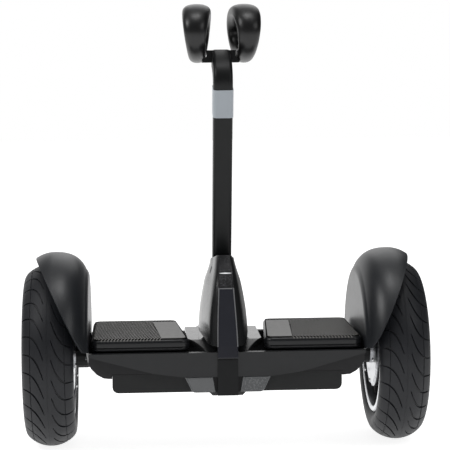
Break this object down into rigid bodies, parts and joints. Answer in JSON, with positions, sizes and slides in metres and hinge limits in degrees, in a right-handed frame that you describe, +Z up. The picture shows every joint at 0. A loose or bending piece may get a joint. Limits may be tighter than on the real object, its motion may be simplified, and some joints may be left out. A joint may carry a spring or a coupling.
{
  "type": "self balancing personal transporter",
  "caption": "Two-wheeled self balancing transporter with a low standing deck, rubber foot mats, arched fenders and a knee steering bar on a leaning column.",
  "frame": {"origin": "on the ground under the middle of the axle line", "axes": "+Z up, +X along the axle towards the rider's right, -Y the way it drives forward (the side the picture shows)"},
  "size_m": [0.5444, 0.2568, 0.6041],
  "materials": {
    "tyre_rubber": "matt black rubber tread with a faint sheen",
    "rim_alloy": "satin cast alloy",
    "cast_alloy": "dark painted casting, fine grain",
    "steel": "ground steel",
    "copper_winding": "enamelled copper over steel laminations",
    "satin_black_plastic": "satin moulded plastic, very fine spark texture",
    "matt_black_plastic": "matt moulded plastic",
    "gloss_black_plastic": "polished black with a cold tint",
    "fender_plastic": "smooth satin dark grey",
    "mat_rubber": "ribbed rubber",
    "soft_rubber": "smooth soft foam rubber skin",
    "lamp_lens": "smoked translucent window",
    "tail_lens": "dark red translucent window",
    "lamp_white": "clear light guide",
    "blank_label": "plain white film, nothing printed on it",
    "cell_wrap": "shrink wrapped cells",
    "circuit_board": "green board"
  },
  "bodies": {
    "chassis": {"chassis_frame": "cast_alloy", "deck_cover": "satin_black_plastic", "front_panel": "satin_black_plastic", "rear_panel": "satin_black_plastic", "front_keel_strip": "gloss_black_plastic", "battery_case": "matt_black_plastic", "control_board": "circuit_board", "centre_foot": "mat_rubber", "pivot_shaft": "steel", "charge_socket": "matt_black_plastic", "left_battery_pack": "cell_wrap", "right_battery_pack": "cell_wrap", "left_lamp_lens": "lamp_lens", "right_lamp_lens": "lamp_lens", "left_tail_lens": "tail_lens", "right_tail_lens": "tail_lens", "left_fender": "fender_plastic", "right_fender": "fender_plastic", "left_fender_screw": "steel", "right_fender_screw": "steel", "left_axle": "steel", "right_axle": "steel", "left_axle_clamp": "cast_alloy", "right_axle_clamp": "cast_alloy", "left_stator": "copper_winding", "right_stator": "copper_winding", "left_mat_switch": "soft_rubber", "right_mat_switch": "soft_rubber"},
    "left_wheel": {"left_tyre": "tyre_rubber", "left_rim": "rim_alloy", "left_motor_cover": "cast_alloy", "left_magnet_ring": "steel", "left_wheel_bearing": "steel", "left_tyre_valve": "steel"},
    "right_wheel": {"right_tyre": "tyre_rubber", "right_rim": "rim_alloy", "right_motor_cover": "cast_alloy", "right_magnet_ring": "steel", "right_wheel_bearing": "steel", "right_tyre_valve": "steel"},
    "left_mat": {"left_foot_mat": "mat_rubber"},
    "right_mat": {"right_foot_mat": "mat_rubber"},
    "column": {"steering_arm": "cast_alloy", "arm_bushing": "steel", "centring_sleeve": "soft_rubber", "column_left_cover": "satin_black_plastic", "column_right_cover": "satin_black_plastic", "column_front_strip": "gloss_black_plastic", "column_grip_panel": "matt_black_plastic", "headlight_lens": "lamp_white", "column_rear_strip": "matt_black_plastic", "status_display": "gloss_black_plastic"},
    "steering_bar": {"stem_tube": "matt_black_plastic", "stem_head": "matt_black_plastic", "label_band": "blank_label", "left_knee_pad": "soft_rubber", "right_knee_pad": "soft_rubber"},
    "power_button": {"power_button": "soft_rubber"},
    "release_button": {"release_button": "matt_black_plastic"},
    "charge_cap": {"charge_cap": "mat_rubber"}
  },
  "joints": [
    {"name": "left_wheel_spin", "type": "hinge", "parent": "chassis", "child": "left_wheel", "pos_m": [-0.238, 0, 0.125], "axis": [1, 0, 0], "continuous": true},
    {"name": "right_wheel_spin", "type": "hinge", "parent": "chassis", "child": "right_wheel", "pos_m": [0.238, 0, 0.125], "axis": [1, 0, 0], "continuous": true},
    {"name": "steering_lean", "type": "hinge", "parent": "chassis", "child": "column", "pos_m": [0, 0, 0.105], "axis": [0, 1, 0], "range_deg": [-10, 10], "stiffness_Nm_per_rad": 20},
    {"name": "bar_height", "type": "slide", "parent": "column", "child": "steering_bar", "axis": [0, -0.2773, 0.9608], "range_m": [0, 0.045]},
    {"name": "left_mat_press", "type": "slide", "parent": "chassis", "child": "left_mat", "axis": [0, 0, -1], "range_m": [0, 0.0015], "stiffness_N_per_m": 6000, "springref_m": -0.001, "deforming": ["left_mat_switch"]},
    {"name": "right_mat_press", "type": "slide", "parent": "chassis", "child": "right_mat", "axis": [0, 0, -1], "range_m": [0, 0.0015], "stiffness_N_per_m": 6000, "springref_m": -0.001, "deforming": ["right_mat_switch"]},
    {"name": "power_button_press", "type": "slide", "parent": "column", "child": "power_button", "axis": [0, -1, 0], "range_m": [0, 0.0015], "stiffness_N_per_m": 800},
    {"name": "release_button_press", "type": "slide", "parent": "column", "child": "release_button", "axis": [1, 0, 0], "range_m": [0, 0.0015], "stiffness_N_per_m": 800},
    {"name": "charge_flap", "type": "hinge", "parent": "chassis", "child": "charge_cap", "pos_m": [0.072, 0.0901, 0.14], "axis": [1, 0, 0], "range_deg": [0, 110]}
  ]
}
